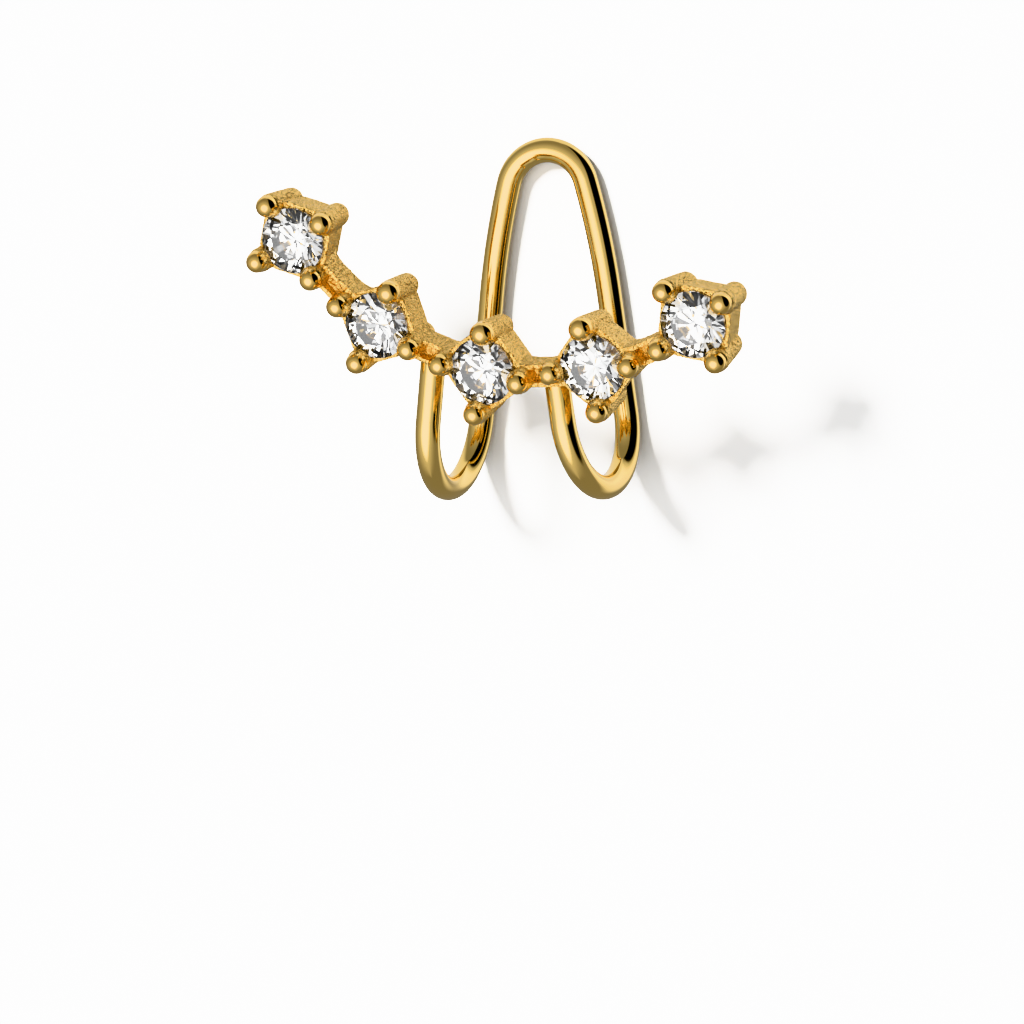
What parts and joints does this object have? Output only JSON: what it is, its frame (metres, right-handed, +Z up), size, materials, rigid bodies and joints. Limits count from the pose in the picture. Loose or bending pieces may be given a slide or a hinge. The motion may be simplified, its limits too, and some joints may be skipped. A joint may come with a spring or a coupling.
{
  "type": "ear cuff",
  "caption": "Ear cuff: a curved row of claw-set round clear stones on a polished gold-coloured bent wire that clips over the rim of the ear.",
  "frame": {"origin": "middle of the bottom of the bounding box, on the surface that the cuff lies on", "axes": "+X along the row of stones from stone_1 to stone_5, +Y from the loops towards the crown of the arch, +Z up from the surface through the wire to the stones"},
  "size_m": [0.0162, 0.0114, 0.0076],
  "materials": {
    "gold": "gold-plated brass, the wire polished bright and the cast row satin with polished claw tips",
    "stone": "clear round brilliant-cut stone, polished facets"
  },
  "bodies": {
    "root": {"cuff_frame": "gold", "stone_1": "stone", "stone_2": "stone", "stone_3": "stone", "stone_4": "stone", "stone_5": "stone"}
  },
  "joints": []
}
